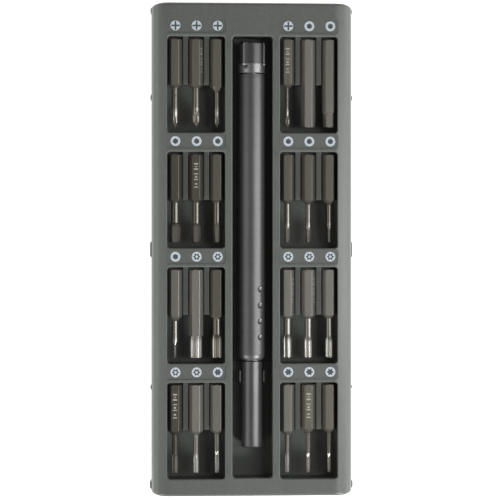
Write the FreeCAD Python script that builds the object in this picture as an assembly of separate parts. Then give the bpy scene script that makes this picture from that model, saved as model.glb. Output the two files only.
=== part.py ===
import FreeCAD, Part
import math
import os
from dataclasses import dataclass
from FreeCAD import Vector

# Precision screwdriver set: a flat moulded tray with 24 driver bits in eight pockets
# and a handle with a swivel cap lying in a channel down the middle.
# Millimetres. X runs across the tray, Y along it towards the cap's end, Z up.
# The origin is on the surface the tray rests on, under the tray's middle.

# ---- tray ----
TRAY_WIDTH = 64.1
TRAY_LENGTH = 156.6
TRAY_HEIGHT = 14.5
UPPER_EDGE_R = 6.0         # rounding along the two long sides, above
LOWER_EDGE_R = 4.0         # and below
CORNER_ARC_R = 8.0         # plan arc at each corner, tangent to the end
CORNER_ARC_SPAN = 3.8      # how far in from the side that arc begins
CORNER_EASE_R = 1.0        # rounding where that arc meets the side
PLAN_ROOM = 0.03           # the plan is this much wider, so the rounding crosses the side cleanly
END_EDGE_R = 1.0           # rounding of the end faces' upper and lower edges
RIM_CHAMFER = 0.3          # broken edge around every pocket and the channel
WALL = 1.2                 # moulded wall and floor thickness

# ---- bit pockets: two columns of four ----
ROWS = 4
POCKET_WIDTH = 18.4
POCKET_LENGTH = 30.6
POCKET_PITCH_Y = 36.6
POCKET_X = 17.9            # distance of each column's middle from the tray's middle
FIRST_POCKET_TOP = 67.6
POCKET_CORNER_R = 1.0
WELL_FLOOR = 4.5           # height of the deep floor under the blades
BED_LENGTH = 15.2          # raised floor and ribs that hold the shanks
BED_BELOW_DECK = 5.3
BIT_PITCH = 6.7
RIB_WIDTH = 1.85
RIB_BELOW_DECK = 2.8
RIB_EDGE_R = 0.35
BITS_PER_POCKET = 3

# ---- deck details ----
STRIP_WIDTH = 18.7         # shallow recess above each pocket
STRIP_HEIGHT = 4.6
STRIP_DEPTH = 0.18
STRIP_GAP = 1.0            # from the pocket's end to the strip
PIP_WIDTH = 0.6            # low raised pips on the webs beside the channel
PIP_END_R = 0.27
PIP_LENGTH = 2.7
PIP_HEIGHT = 0.12
PIP_X = 7.54
PIP_PITCH = 33.65
PIP_COUNT = 5
PIP_MIDDLE_Y = -2.7

# ---- channel and handle ----
CHANNEL_WIDTH = 12.84
CHANNEL_TOP = 67.7
CHANNEL_BOTTOM = -72.5
CHANNEL_STEP_Y = -36.0     # the floor is higher from here on, under the nose
REST_GAP = 0.3             # handle to channel floor and saddles
HANDLE_R = 4.35
HANDLE_BELOW_DECK = 0.5
NOSE_R = 3.4
CAP_TOP_Y = 66.2
CAP_LENGTH = 10.05
JOINT_GAP = 0.3
BODY_END_Y = -35.1
NOSE_TOP_Y = -35.4
NOSE_END_Y = -63.0
SADDLE_YS = (48.0, 8.0, -30.0)
SADDLE_LENGTH = 2.4
SADDLE_WIDTH = 7.6
SADDLE_RISE = 1.4
FINGER_X = 3.75            # middle of each cradle finger beside the nose
FINGER_THICK = 0.5
FINGER_TOP_Y = -38.6
FINGER_LENGTH = 3.6
FINGER_ABOVE_AXIS = 1.6

# ---- side nubs that steady the tray in its sleeve: (middle y, length, how far they stand out) ----
NUBS = (
    (76.3, 1.4, 0.3),
    (48.6, 1.6, 0.3),
    (0.0, 4.7, 0.4),
    (-44.0, 1.2, 0.3),
    (-75.2, 2.4, 0.45),
)
NUB_LOW = 4.4
NUB_HIGH = 8.3
NUB_EDGE = 0.25

# ---- base cover and magnets ----
COVER_WIDTH = 53.0
COVER_LENGTH = 150.0
COVER_THICK = 1.2
COVER_CORNER_R = 2.0
COVER_GAP = 0.05
CAVITY_LEDGE = 1.2         # the cover rests on this much of the tray all round
MAGNET_SIZE = (16.0, 6.0, 2.0)
MAGNET_FROM_POCKET_END = 7.5

# ---- inside the handle ----
BODY_BORE_R = 2.6
SHOULDER_R = 2.78          # rounding of the body's lower end
SHOULDER_DROP = 0.75
LINE_DEPTH = 0.1           # two fine turned lines near the cap
LINE_WIDTH = 0.16
LINE_FROM_TOP = (0.5, 1.1)
DIMPLE_YS = (-12.7, -17.78, -22.86, -27.94)
DIMPLE_R = 0.95
DIMPLE_DEPTH = 0.35
DIMPLE_TURN = 33.5         # degrees from straight up to the first row
DIMPLE_ROWS = 3
CAP_GROOVES = 4
CAP_GROOVE_TURN = -31.0    # degrees from straight up to the first groove's middle
CAP_GROOVE_DEPTH = 0.5
CAP_GROOVE_FLOOR = 1.1     # width at the bottom; the walls slope at 45 degrees
CAP_GROOVE_LENGTH = 7.5    # from the cap's free end to where the floor starts to rise
CAP_GROOVE_RUN_OUT = 1.5
CAP_GRIP_LENGTH = 7.1      # the slightly thinner part the grooves run along
CAP_GRIP_DROP = 0.06
CAP_CHAMFER = 0.7
TURNED_EDGE = 0.1          # edge broken on the handle's turned parts
SPINDLE_R = 1.49
NOSE_STEM_R = 3.0
NOSE_STEM_LENGTH = 10.0
NOSE_CHAMFER = 0.35
FIT = 0.01                 # radial room in the handle's fixed fits
SOCKET_R = 2.7
SOCKET_LENGTH = 14.0
SOCKET_HEX = 4.08          # across flats, for the 4 mm shanks
SOCKET_DEPTH = 9.5
SOCKET_LEAD = 0.25         # sloped mouth of the hexagonal hole
SOCKET_MAGNET_R = 1.9
SOCKET_MAGNET_LENGTH = 2.0

# ---- cap bearing ----
RING_WIDTH = 2.5
RING_BORE_R = 1.5
INNER_RING_R = 2.1
OUTER_RING_BORE_R = 2.9
OUTER_RING_R = 3.5
BALL_R = 0.6
BALL_CIRCLE_R = 2.5
BALL_COUNT = 7
GROOVE_ROOM = 0.03
CAGE_R = (2.25, 2.75)
CAGE_WIDTH = 1.7
CAGE_ROOM = 0.06
SCREW_R = 0.8
SCREW_HEAD_R = 2.2
SCREW_HEAD_LENGTH = 1.2
SCREW_LENGTH = 6.0
SCREW_SLOT_HEX = 1.3
SCREW_SLOT_DEPTH = 0.7

# ---- bits ----
BIT_LENGTH = 28.0
BIT_HEX = 4.0
BIT_FROM_POCKET_END = 0.8
BIT_REST_GAP = 0.05
BIT_BACK_CHAMFER = 0.35
BIT_EDGE_R = 0.2           # rounding along the shank's six edges
BLADE_TAPER = 1.2          # longest narrowing between a blade and its tip
BLADE_TAPER_SHARE = 0.9    # and the most of the blade it may take
TIP_STEP = 0.02            # a tip's root is this much inside the blade
CROSS_POINT = 0.2          # flat end of a cross tip, over its radius
CROSS_SLOPE = 1.5          # length of its slope, over its radius
CROSS_THICK = 0.3          # half thickness of a wing, over its radius
CROSS_EASE = 0.3           # part of its length over which the wings fade into the blade
STAR_EDGE = 0.12           # edge broken on a star tip, over its radius
STAR_FLUTE = 0.36          # radius of a flute, over the tip's radius
PIN_HOLE = 0.26            # radius of the hole in a pin star, over the tip's radius
PIN_HOLE_DEPTH = 1.1       # and its depth
HEX_EDGE = 0.12            # edge broken on a hexagonal tip, over its size
STAR_ROOT = 0.72           # radius of a star tip's flute bottoms over its lobe radius

HANDLE_Z = TRAY_HEIGHT - HANDLE_BELOW_DECK - HANDLE_R
BED_FLOOR = TRAY_HEIGHT - BED_BELOW_DECK
BODY_TOP_Y = CAP_TOP_Y - CAP_LENGTH - JOINT_GAP
BIT_Z = BED_FLOOR + BIT_REST_GAP + BIT_HEX / 2
HEX_CORNER = 2 / math.sqrt(3)  # across corners over across flats
OVER = 1.0                 # how far cutting shapes run past the surface they cut


@dataclass
class Bit:
    """One driver bit, measured from the shank's back end."""

    name: str
    tip: str       # cross, hex, star or pin_star
    size: float    # tip size: wing span, across flats, or across lobes
    shank: float   # length of the full hexagon
    blade: float   # blade diameter
    tip_from: float  # where the drive tip begins
    neck: float = 1.1  # length of the cone between shank and blade


# In tray order: left then right pocket of each row, each from left to right.
BITS = (
    Bit("bit_cross_0", "cross", 1.9, 14.3, 1.9, 24.4),
    Bit("bit_cross_1", "cross", 2.5, 14.5, 2.1, 22.8),
    Bit("bit_cross_00", "cross", 1.65, 14.9, 1.5, 24.4, 1.9),
    Bit("bit_cross_000", "cross", 1.7, 14.1, 0.95, 24.3, 1.3),
    Bit("bit_hex_4_0", "hex", 4.0, 28.0, 4.0, 28.0),
    Bit("bit_hex_3_5", "hex", 3.5, 23.2, 3.7, 24.0, 0.3),
    Bit("bit_hex_3_0", "hex", 3.0, 14.2, 2.4, 22.8),
    Bit("bit_hex_2_5", "hex", 2.5, 14.2, 2.3, 23.0),
    Bit("bit_hex_2_0", "hex", 2.0, 14.2, 2.25, 22.8),
    Bit("bit_hex_1_5", "hex", 1.5, 14.3, 1.7, 24.0, 1.4),
    Bit("bit_hex_1_3", "hex", 1.3, 14.4, 1.55, 24.3, 1.5),
    Bit("bit_hex_0_9", "hex", 0.9, 14.4, 1.5, 23.8, 1.6),
    Bit("bit_hex_0_7", "hex", 0.7, 14.9, 1.7, 24.0, 1.4),
    Bit("bit_pin_star_20", "pin_star", 3.9, 20.9, 3.75, 22.0, 0.3),
    Bit("bit_pin_star_15", "pin_star", 3.35, 14.6, 2.8, 21.8),
    Bit("bit_pin_star_10", "pin_star", 2.8, 14.6, 2.2, 21.8),
    Bit("bit_pin_star_9", "pin_star", 2.5, 14.6, 2.1, 22.8),
    Bit("bit_pin_star_8", "pin_star", 2.3, 14.3, 1.9, 22.6, 1.3),
    Bit("bit_pin_star_7", "pin_star", 2.0, 14.6, 1.7, 22.9, 1.3),
    Bit("bit_pin_star_6", "pin_star", 1.75, 14.7, 1.6, 23.6, 1.3),
    Bit("bit_star_5", "star", 1.45, 14.5, 1.75, 22.4, 1.2),
    Bit("bit_star_4", "star", 1.35, 14.8, 1.35, 22.9, 1.4),
    Bit("bit_star_3", "star", 1.2, 14.0, 1.45, 23.2, 1.6),
    Bit("bit_star_2", "star", 1.0, 14.0, 1.45, 23.2, 1.6),
)


def box(x_span, y_span, z_span):
    """A box between two values along each axis."""
    low = Vector(x_span[0], y_span[0], z_span[0])
    return Part.makeBox(
        x_span[1] - x_span[0], y_span[1] - y_span[0], z_span[1] - z_span[0], low
    )


def rounded_outline(cx, cy, width, length, radius, z):
    """Closed wire of a rectangle with round corners, flat at height z."""
    hx, hy = width / 2, length / 2
    diagonal = radius * (1 - math.sqrt(0.5))
    edges = []
    corners = ((1, -1), (1, 1), (-1, 1), (-1, -1))
    points = []
    for index, (sx, sy) in enumerate(corners):
        along_y = Vector(cx + sx * hx, cy + sy * (hy - radius), z)
        along_x = Vector(cx + sx * (hx - radius), cy + sy * hy, z)
        middle = Vector(cx + sx * (hx - diagonal), cy + sy * (hy - diagonal), z)
        first, last = (along_x, along_y) if index % 2 == 0 else (along_y, along_x)
        points.append((first, middle, last))
    for index, (first, middle, last) in enumerate(points):
        edges.append(Part.Arc(first, middle, last).toShape())
        edges.append(Part.LineSegment(last, points[(index + 1) % 4][0]).toShape())
    return Part.Wire(edges)


def rounded_block(cx, cy, width, length, radius, z_low, z_high):
    """A block with round vertical corners."""
    outline = rounded_outline(cx, cy, width, length, radius, z_low)
    return Part.Face(outline).extrude(Vector(0, 0, z_high - z_low))


def rim_cutter(cx, cy, width, length, radius):
    """The sloped ring cut around a recess where it meets the deck."""
    low = rounded_outline(cx, cy, width, length, radius, TRAY_HEIGHT - RIM_CHAMFER)
    grown = RIM_CHAMFER * 4
    high = rounded_outline(
        cx, cy, width + grown, length + grown, radius + grown / 2, TRAY_HEIGHT + RIM_CHAMFER
    )
    return Part.makeLoft([low, high], True, True)


def turned(profile, y_axis_z=0.0):
    """Solid turned about a line along Y from (radius, y) points. A three-item entry is an
    arc: (radius, y, middle), where middle is the (radius, y) the arc passes through."""
    edges = []
    last = Vector(profile[0][0], profile[0][1], y_axis_z)
    first = last
    for entry in profile[1:]:
        point = Vector(entry[0], entry[1], y_axis_z)
        if len(entry) == 3:
            middle = Vector(entry[2][0], entry[2][1], y_axis_z)
            edges.append(Part.Arc(last, middle, point).toShape())
        else:
            edges.append(Part.LineSegment(last, point).toShape())
        last = point
    edges.append(Part.LineSegment(last, first).toShape())
    face = Part.Face(Part.Wire(edges))
    return face.revolve(Vector(0, 0, y_axis_z), Vector(0, 1, 0), 360)


def rod(radius, y_low, y_high, z=0.0, x=0.0):
    """A round rod along Y."""
    return Part.makeCylinder(radius, y_high - y_low, Vector(x, y_low, z), Vector(0, 1, 0))


def hex_rod(flats, y_low, y_high, z=0.0, edge_r=0.0):
    """A hexagonal rod along Y with a flat facing up, its edges rounded to edge_r."""
    corner_r = flats * HEX_CORNER / 2
    half_turn = math.radians(30)
    corners = [Vector(math.cos(2 * i * half_turn), 0, math.sin(2 * i * half_turn)) for i in range(6)]
    up = Vector(0, y_low, z)
    if edge_r == 0:
        outline = Part.makePolygon([up + c * corner_r for c in corners + corners[:1]])
        return Part.Face(outline).extrude(Vector(0, y_high - y_low, 0))
    set_back = edge_r * math.tan(half_turn)
    arcs = []
    for index, out in enumerate(corners):
        before = (corners[index - 1] - out).normalize()
        after = (corners[(index + 1) % 6] - out).normalize()
        tip = up + out * corner_r
        middle = tip - out * (edge_r / math.cos(half_turn) - edge_r)
        arcs.append((tip + before * set_back, middle, tip + after * set_back))
    edges = []
    for index, (first, middle, last) in enumerate(arcs):
        edges.append(Part.Arc(first, middle, last).toShape())
        edges.append(Part.LineSegment(last, arcs[(index + 1) % 6][0]).toShape())
    return Part.Face(Part.Wire(edges)).extrude(Vector(0, y_high - y_low, 0))


def fused(shapes):
    """One solid from touching shapes, with seams between coplanar faces removed."""
    return shapes[0].multiFuse(shapes[1:]).removeSplitter()


def pocket_tops():
    """Each pocket's column side (-1 left, 1 right) and upper end, in tray order."""
    for row in range(ROWS):
        for side in (-1, 1):
            yield side, FIRST_POCKET_TOP - row * POCKET_PITCH_Y


def tray_plan():
    """The moulding seen from above: straight sides, and ends that curve back at each corner.
    The arc at a corner is tangent to the end, and a smaller arc eases it into the side."""
    hx, hy = TRAY_WIDTH / 2 + PLAN_ROOM, TRAY_LENGTH / 2
    ease, big = CORNER_EASE_R, CORNER_ARC_R
    # One corner, as offsets in from the side (x) and back from the end (y).
    big_middle = Vector(CORNER_ARC_SPAN, big, 0)
    ease_x = ease
    ease_y = big - math.sqrt((big - ease) ** 2 - (CORNER_ARC_SPAN - ease) ** 2)
    ease_middle = Vector(ease_x, ease_y, 0)
    away = (ease_middle - big_middle).normalize()
    meet = big_middle + away * big
    half_big = (Vector(0, -1, 0) + away).normalize()
    half_ease = (Vector(-1, 0, 0) + away).normalize()
    path = [
        Vector(CORNER_ARC_SPAN, 0, 0),
        big_middle + half_big * big,
        meet,
        ease_middle + half_ease * ease,
        Vector(0, ease_y, 0),
    ]
    corners = []
    for sx, sy in ((1, 1), (-1, 1), (-1, -1), (1, -1)):
        points = [Vector(sx * (hx - v.x), sy * (hy - v.y), 0) for v in path]
        corners.append(points[::-1] if sx * sy > 0 else points)
    edges = []
    for index, points in enumerate(corners):
        edges.append(Part.Arc(points[0], points[1], points[2]).toShape())
        edges.append(Part.Arc(points[2], points[3], points[4]).toShape())
        edges.append(Part.LineSegment(points[4], corners[(index + 1) % 4][0]).toShape())
    return Part.Face(Part.Wire(edges)).extrude(Vector(0, 0, TRAY_HEIGHT))


def tray_outside():
    """The moulding's outer form: a rounded bar section, trimmed at the ends in plan."""
    hx, hy = TRAY_WIDTH / 2, TRAY_LENGTH / 2
    bar = box((-hx, hx), (-hy, hy), (0, TRAY_HEIGHT))
    long_edges = [e for e in bar.Edges if abs(e.tangentAt(e.FirstParameter).y) > 0.99]
    upper = [e for e in long_edges if e.BoundBox.ZMin > TRAY_HEIGHT / 2]
    bar = bar.makeFillet(UPPER_EDGE_R, upper)
    long_edges = [e for e in bar.Edges if abs(e.tangentAt(e.FirstParameter).y) > 0.99]
    lower = [e for e in long_edges if e.BoundBox.ZMax < 0.01]
    bar = bar.makeFillet(LOWER_EDGE_R, lower)
    outside = bar.common(tray_plan())
    end_edges = []
    for edge in outside.Edges:
        box_of = edge.BoundBox
        at_end = min(abs(box_of.YMin), abs(box_of.YMax)) > hy - 0.01
        if at_end and box_of.ZLength < 0.01:
            end_edges.append(edge)
    return outside.makeFillet(END_EDGE_R, end_edges)


def nub(side, y, length, out):
    """A low pad on the tray's side, with sloped ends."""
    inner = TRAY_WIDTH / 2 - OVER
    outer = TRAY_WIDTH / 2 + out
    half = length / 2
    points = [
        Vector(side * inner, y - half - NUB_EDGE, NUB_LOW),
        Vector(side * (outer - out), y - half - NUB_EDGE, NUB_LOW),
        Vector(side * outer, y - half + NUB_EDGE, NUB_LOW),
        Vector(side * outer, y + half - NUB_EDGE, NUB_LOW),
        Vector(side * (outer - out), y + half + NUB_EDGE, NUB_LOW),
        Vector(side * inner, y + half + NUB_EDGE, NUB_LOW),
    ]
    return Part.Face(Part.makePolygon(points + points[:1])).extrude(
        Vector(0, 0, NUB_HIGH - NUB_LOW)
    )


def pocket_middle(side, top):
    return side * POCKET_X, top - POCKET_LENGTH / 2


def pocket_space(side, top, grow=0.0):
    """The room inside one pocket: a deep well, and a shallower bed under the shanks."""
    cx, cy = pocket_middle(side, top)
    width, length = POCKET_WIDTH + 2 * grow, POCKET_LENGTH + 2 * grow
    high = TRAY_HEIGHT + OVER
    space = rounded_block(cx, cy, width, length, POCKET_CORNER_R + grow, WELL_FLOOR - grow, high)
    bed_end = top - BED_LENGTH + grow
    half = width / 2 + OVER
    bed = box((cx - half, cx + half), (bed_end, top + grow + OVER), (-OVER, BED_FLOOR - grow))
    return space.cut(bed)


def rib(x, top):
    """A divider between two bits, standing on the bed, with its free top edges rounded."""
    half = RIB_WIDTH / 2
    high = TRAY_HEIGHT - RIB_BELOW_DECK
    end = top - BED_LENGTH
    block = box((x - half, x + half), (end, top + WALL / 2), (BED_FLOOR - WALL / 2, high))
    free_edges = []
    for edge in block.Edges:
        on_top = edge.BoundBox.ZMin > high - RIB_EDGE_R
        if on_top and edge.BoundBox.YMin < end + RIB_EDGE_R:
            free_edges.append(edge)
    return block.makeFillet(RIB_EDGE_R, free_edges)


def channel_space(grow=0.0):
    """The room for the handle: a deep part under the body and a higher floor at the nose."""
    low, high = CHANNEL_BOTTOM - grow, CHANNEL_TOP + grow
    cy, length = (low + high) / 2, high - low
    width = CHANNEL_WIDTH + 2 * grow
    body_floor = HANDLE_Z - HANDLE_R - REST_GAP - grow
    nose_floor = HANDLE_Z - NOSE_R - REST_GAP - grow
    radius = POCKET_CORNER_R + grow
    space = rounded_block(0, cy, width, length, radius, body_floor, TRAY_HEIGHT + OVER)
    step_end = CHANNEL_STEP_Y + grow
    return space.cut(box((-width, width), (low - OVER, step_end), (-OVER, nose_floor)))


def saddle(y):
    """A low block on the channel floor, hollowed to the handle body's round."""
    half = SADDLE_WIDTH / 2
    floor = HANDLE_Z - HANDLE_R - REST_GAP
    span = (y - SADDLE_LENGTH / 2, y + SADDLE_LENGTH / 2)
    block = box((-half, half), span, (floor - WALL / 2, floor + SADDLE_RISE))
    return block.cut(rod(HANDLE_R + REST_GAP, span[0] - OVER, span[1] + OVER, HANDLE_Z))


def finger(side):
    """One springy upright beside the nose."""
    x = side * FINGER_X
    half = FINGER_THICK / 2
    floor = HANDLE_Z - NOSE_R - REST_GAP
    return box(
        (x - half, x + half),
        (FINGER_TOP_Y - FINGER_LENGTH, FINGER_TOP_Y),
        (floor - WALL / 2, HANDLE_Z + FINGER_ABOVE_AXIS),
    )


def label_strip(side, top):
    """The shallow recess above a pocket, where its icons are printed."""
    y = top + STRIP_GAP + STRIP_HEIGHT / 2
    low, high = TRAY_HEIGHT - STRIP_DEPTH, TRAY_HEIGHT + OVER
    return rounded_block(
        side * POCKET_X, y, STRIP_WIDTH, STRIP_HEIGHT, POCKET_CORNER_R, low, high
    )


def pip(side, step):
    """One of the low raised marks in a row on each side of the channel."""
    y = PIP_MIDDLE_Y + (step - (PIP_COUNT - 1) / 2) * PIP_PITCH
    low, high = TRAY_HEIGHT - WALL / 2, TRAY_HEIGHT + PIP_HEIGHT
    return rounded_block(side * PIP_X, y, PIP_WIDTH, PIP_LENGTH, PIP_END_R, low, high)


def cover_recess():
    """The room for the base cover, with its gap all round."""
    width = COVER_WIDTH + 2 * COVER_GAP
    length = COVER_LENGTH + 2 * COVER_GAP
    return rounded_block(0, 0, width, length, COVER_CORNER_R, -OVER, COVER_THICK)


def make_tray():
    """The moulding, with everything cut from it and everything that stands in it."""
    nubs = [nub(side, *spec) for side in (-1, 1) for spec in NUBS]
    body = fused([tray_outside()] + nubs)

    channel_y = (CHANNEL_TOP + CHANNEL_BOTTOM) / 2
    channel_length = CHANNEL_TOP - CHANNEL_BOTTOM
    cutters = [channel_space(), cavity(), cover_recess()]
    cutters.append(rim_cutter(0, channel_y, CHANNEL_WIDTH, channel_length, POCKET_CORNER_R))
    for side, top in pocket_tops():
        cx, cy = pocket_middle(side, top)
        cutters.append(pocket_space(side, top))
        cutters.append(rim_cutter(cx, cy, POCKET_WIDTH, POCKET_LENGTH, POCKET_CORNER_R))
        cutters.append(label_strip(side, top))
    body = body.cut(cutters)

    added = [saddle(y) for y in SADDLE_YS] + [finger(side) for side in (-1, 1)]
    for side, top in pocket_tops():
        for step in (-0.5, 0.5):
            added.append(rib(side * POCKET_X + step * BIT_PITCH, top))
    added += [pip(side, step) for side in (-1, 1) for step in range(PIP_COUNT)]
    return fused([body] + added)


def cavity():
    """The hollow underside: what the cover closes, less a wall around every well."""
    hx = COVER_WIDTH / 2 - CAVITY_LEDGE
    hy = COVER_LENGTH / 2 - CAVITY_LEDGE
    hollow = box((-hx, hx), (-hy, hy), (COVER_THICK - 0.5 * WALL, TRAY_HEIGHT - WALL))
    wells = [channel_space(WALL)] + [pocket_space(s, t, WALL) for s, t in pocket_tops()]
    return hollow.cut(wells)


def make_base_cover():
    return rounded_block(0, 0, COVER_WIDTH, COVER_LENGTH, COVER_CORNER_R, 0, COVER_THICK)


def make_pocket_magnet(side, top):
    """A bar magnet stuck to the underside of one pocket's bed."""
    wide, long, thick = MAGNET_SIZE
    cx = side * POCKET_X
    cy = top - MAGNET_FROM_POCKET_END
    high = BED_FLOOR - WALL
    # The hollow ends at the cover's ledge, so the magnet sits a little inwards of its pocket.
    limit = COVER_WIDTH / 2 - CAVITY_LEDGE
    cx -= side * max(0.0, abs(cx) + wide / 2 - limit)
    return box((cx - wide / 2, cx + wide / 2), (cy - long / 2, cy + long / 2), (high - thick, high))


def make_handle_body():
    """Aluminium tube: bearing seat at the cap's end, nose seat at the other."""
    seat_y = BODY_TOP_Y - RING_WIDTH - 2 * FIT
    stem_y = BODY_END_Y + NOSE_STEM_LENGTH + REST_GAP
    rise = math.sqrt(SHOULDER_R**2 - (SHOULDER_R - SHOULDER_DROP) ** 2)
    half_turn = math.asin(rise / SHOULDER_R) / 2
    middle = (
        HANDLE_R - SHOULDER_R * (1 - math.cos(half_turn)),
        BODY_END_Y + rise - SHOULDER_R * math.sin(half_turn),
    )
    seat_r, stem_r = OUTER_RING_R + FIT, NOSE_STEM_R + FIT
    edge = TURNED_EDGE
    profile = [(seat_r, BODY_TOP_Y)]
    profile += [(HANDLE_R - edge, BODY_TOP_Y), (HANDLE_R, BODY_TOP_Y - edge)]
    for below in LINE_FROM_TOP:
        y = BODY_TOP_Y - below
        profile.append((HANDLE_R, y + LINE_WIDTH / 2))
        profile.append((HANDLE_R - LINE_DEPTH, y))
        profile.append((HANDLE_R, y - LINE_WIDTH / 2))
    profile.append((HANDLE_R, BODY_END_Y + rise))
    profile.append((HANDLE_R - SHOULDER_DROP, BODY_END_Y, middle))
    profile += [(stem_r, BODY_END_Y), (stem_r, stem_y), (BODY_BORE_R, stem_y)]
    profile += [(BODY_BORE_R, seat_y), (seat_r, seat_y)]
    body = turned(profile, HANDLE_Z)

    ball_r = (DIMPLE_R**2 + DIMPLE_DEPTH**2) / (2 * DIMPLE_DEPTH)
    out = HANDLE_R - DIMPLE_DEPTH + ball_r
    dimples = []
    for row in range(DIMPLE_ROWS):
        angle = math.radians(DIMPLE_TURN + row * 360 / DIMPLE_ROWS)
        for y in DIMPLE_YS:
            centre = Vector(out * math.sin(angle), y, HANDLE_Z + out * math.cos(angle))
            dimples.append(Part.makeSphere(ball_r, centre))
    return body.cut(dimples)


def cap_groove():
    """Cutter for one groove along the cap's top line, its floor rising out at the end."""

    def section(y, floor):
        half = CAP_GROOVE_FLOOR / 2
        high = floor + OVER
        corners = ((-half, floor), (half, floor), (half + OVER, high), (-half - OVER, high))
        points = [Vector(x, y, z) for x, z in corners]
        return Part.makePolygon(points + points[:1])

    floor = HANDLE_R - CAP_GROOVE_DEPTH
    bend_y = CAP_TOP_Y - CAP_GROOVE_LENGTH
    straight = Part.Face(section(bend_y, floor)).extrude(Vector(0, CAP_GROOVE_LENGTH + OVER, 0))
    run_out = section(bend_y - CAP_GROOVE_RUN_OUT, HANDLE_R + CAP_GRIP_DROP)
    rise = Part.makeLoft([section(bend_y, floor), run_out], True, True)
    return straight.fuse(rise)


def make_swivel_cap():
    """Aluminium cap with milled grip grooves, and the spindle that runs through the bearing."""
    low = CAP_TOP_Y - CAP_LENGTH
    spindle_end = BODY_TOP_Y - RING_WIDTH - 2 * FIT
    edge = TURNED_EDGE
    shoulder_r = INNER_RING_R - TURNED_EDGE
    bore_end = CAP_TOP_Y - CAP_LENGTH / 2
    grip_r = HANDLE_R - CAP_GRIP_DROP
    grip_y = CAP_TOP_Y - CAP_GRIP_LENGTH
    profile = [
        (SCREW_R, spindle_end),
        (SPINDLE_R, spindle_end),
        (SPINDLE_R, BODY_TOP_Y - FIT),
        (shoulder_r, BODY_TOP_Y - FIT),
        (shoulder_r, low),
        (HANDLE_R - edge, low),
        (HANDLE_R, low + edge),
        (HANDLE_R, grip_y - CAP_GRIP_DROP),
        (grip_r, grip_y),
        (grip_r, CAP_TOP_Y - CAP_CHAMFER),
        (grip_r - CAP_CHAMFER, CAP_TOP_Y),
        (0, CAP_TOP_Y),
        (0, bore_end),
        (SCREW_R, bore_end),
    ]
    cap = turned(profile, HANDLE_Z)
    cutters = []
    for index in range(CAP_GROOVES):
        cutter = cap_groove()
        turn = CAP_GROOVE_TURN + index * 360 / CAP_GROOVES
        cutter.rotate(Vector(0, 0, 0), Vector(0, 1, 0), turn)
        cutter.translate(Vector(0, 0, HANDLE_Z))
        cutters.append(cutter)
    return cap.cut(cutters)


def make_cap_screw():
    """Socket-head screw that clamps the bearing's inner ring against the cap."""
    head_high = BODY_TOP_Y - RING_WIDTH - 2 * FIT
    head_low = head_high - SCREW_HEAD_LENGTH
    head = rod(SCREW_HEAD_R, head_low, head_high, HANDLE_Z)
    thread = rod(SCREW_R - FIT, head_high, head_high + SCREW_LENGTH, HANDLE_Z)
    drive = hex_rod(SCREW_SLOT_HEX, head_low - OVER, head_low + SCREW_SLOT_DEPTH, HANDLE_Z)
    return fused([head, thread]).cut(drive)


def make_handle_nose():
    """The thinner front of the handle, bored right through for the socket."""
    y_top, y_end = NOSE_TOP_Y, NOSE_END_Y
    bore = SOCKET_R + FIT
    profile = [
        (bore, y_end),
        (NOSE_R - NOSE_CHAMFER, y_end),
        (NOSE_R, y_end + NOSE_CHAMFER),
        (NOSE_R, y_top - NOSE_CHAMFER),
        (NOSE_R - NOSE_CHAMFER, y_top),
        (NOSE_STEM_R, y_top),
        (NOSE_STEM_R, BODY_END_Y + NOSE_STEM_LENGTH),
        (SOCKET_MAGNET_R, BODY_END_Y + NOSE_STEM_LENGTH),
        (SOCKET_MAGNET_R, y_end + SOCKET_LENGTH),
        (bore, y_end + SOCKET_LENGTH),
    ]
    return turned(profile, HANDLE_Z)


def make_bit_socket():
    """Steel insert with the hexagonal hole that takes a bit, and a pocket for its magnet."""
    end, lead = NOSE_END_Y, SOCKET_LEAD
    magnet_from = end + SOCKET_DEPTH
    corner = SOCKET_HEX * HEX_CORNER / 2
    body = rod(SOCKET_R, end, end + SOCKET_LENGTH, HANDLE_Z)
    hole = hex_rod(SOCKET_HEX, end - OVER, magnet_from, HANDLE_Z)
    cone = [(0, end - lead), (corner + lead, end - lead), (corner - lead, end + lead), (0, end + lead)]
    mouth = turned(cone, HANDLE_Z)
    seat = rod(SOCKET_MAGNET_R + FIT, magnet_from, magnet_from + SOCKET_MAGNET_LENGTH, HANDLE_Z)
    return body.cut([hole, mouth, seat])


def make_socket_magnet():
    low = NOSE_END_Y + SOCKET_DEPTH
    return rod(SOCKET_MAGNET_R, low, low + SOCKET_MAGNET_LENGTH, HANDLE_Z)


def ring_middle_y():
    return BODY_TOP_Y - FIT - RING_WIDTH / 2


def plain_ring(inner, outer, width):
    """A ring of rectangular section in the bearing's middle plane."""
    low, high = ring_middle_y() - width / 2, ring_middle_y() + width / 2
    return turned([(inner, low), (outer, low), (outer, high), (inner, high)], HANDLE_Z)


def bearing_ring(inner, outer):
    """A bearing ring with the ball groove turned into it."""
    middle = Vector(0, ring_middle_y(), HANDLE_Z)
    groove = Part.makeTorus(BALL_CIRCLE_R, BALL_R + GROOVE_ROOM, middle, Vector(0, 1, 0))
    return plain_ring(inner, outer, RING_WIDTH).cut(groove)


def ball_centres():
    for index in range(BALL_COUNT):
        angle = 2 * math.pi * index / BALL_COUNT
        x = BALL_CIRCLE_R * math.sin(angle)
        yield Vector(x, ring_middle_y(), HANDLE_Z + BALL_CIRCLE_R * math.cos(angle))


def make_bearing_balls():
    return Part.makeCompound([Part.makeSphere(BALL_R, centre) for centre in ball_centres()])


def make_bearing_cage():
    """A ring between the two bearing rings, with a round window for each ball."""
    low, high = CAGE_R
    middle = Vector(0, ring_middle_y(), HANDLE_Z)
    windows = []
    for centre in ball_centres():
        out = (centre - middle).normalize()
        windows.append(Part.makeCylinder(BALL_R + CAGE_ROOM, high + OVER, middle, out))
    return plain_ring(low, high, CAGE_WIDTH).cut(windows)


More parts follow.
